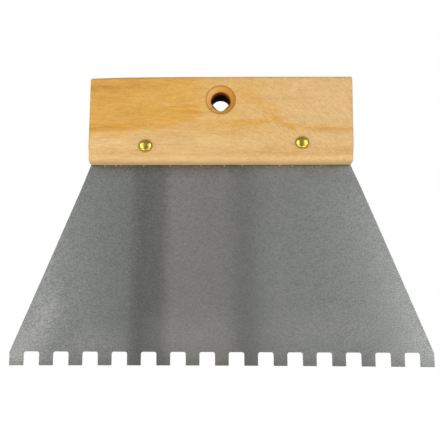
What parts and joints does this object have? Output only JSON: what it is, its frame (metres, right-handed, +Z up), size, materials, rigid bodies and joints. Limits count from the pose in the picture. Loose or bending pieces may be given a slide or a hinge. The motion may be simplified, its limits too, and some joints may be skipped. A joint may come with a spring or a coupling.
{
  "type": "notched trowel",
  "caption": "Notched trowel: a trapezoid steel blade with square teeth, gripped in the slotted underside of a wooden block handle and held by brass rivets.",
  "frame": {"origin": "on the axis of the hang hole, in the middle of the handle's thickness", "axes": "+X along the handle to the right as seen from the front, +Y through the thickness from front to back, +Z up, from the teeth towards the handle"},
  "size_m": [0.25, 0.0252, 0.1746],
  "materials": {
    "beech_wood": "bare sanded hardwood, fine grain along the handle",
    "rolled_steel": "satin cold-rolled sheet, fine grain along the tooth line",
    "rivet_brass": "polished"
  },
  "bodies": {
    "root": {"wooden_handle": "beech_wood", "toothed_blade": "rolled_steel", "left_rivet": "rivet_brass", "right_rivet": "rivet_brass"}
  },
  "joints": []
}
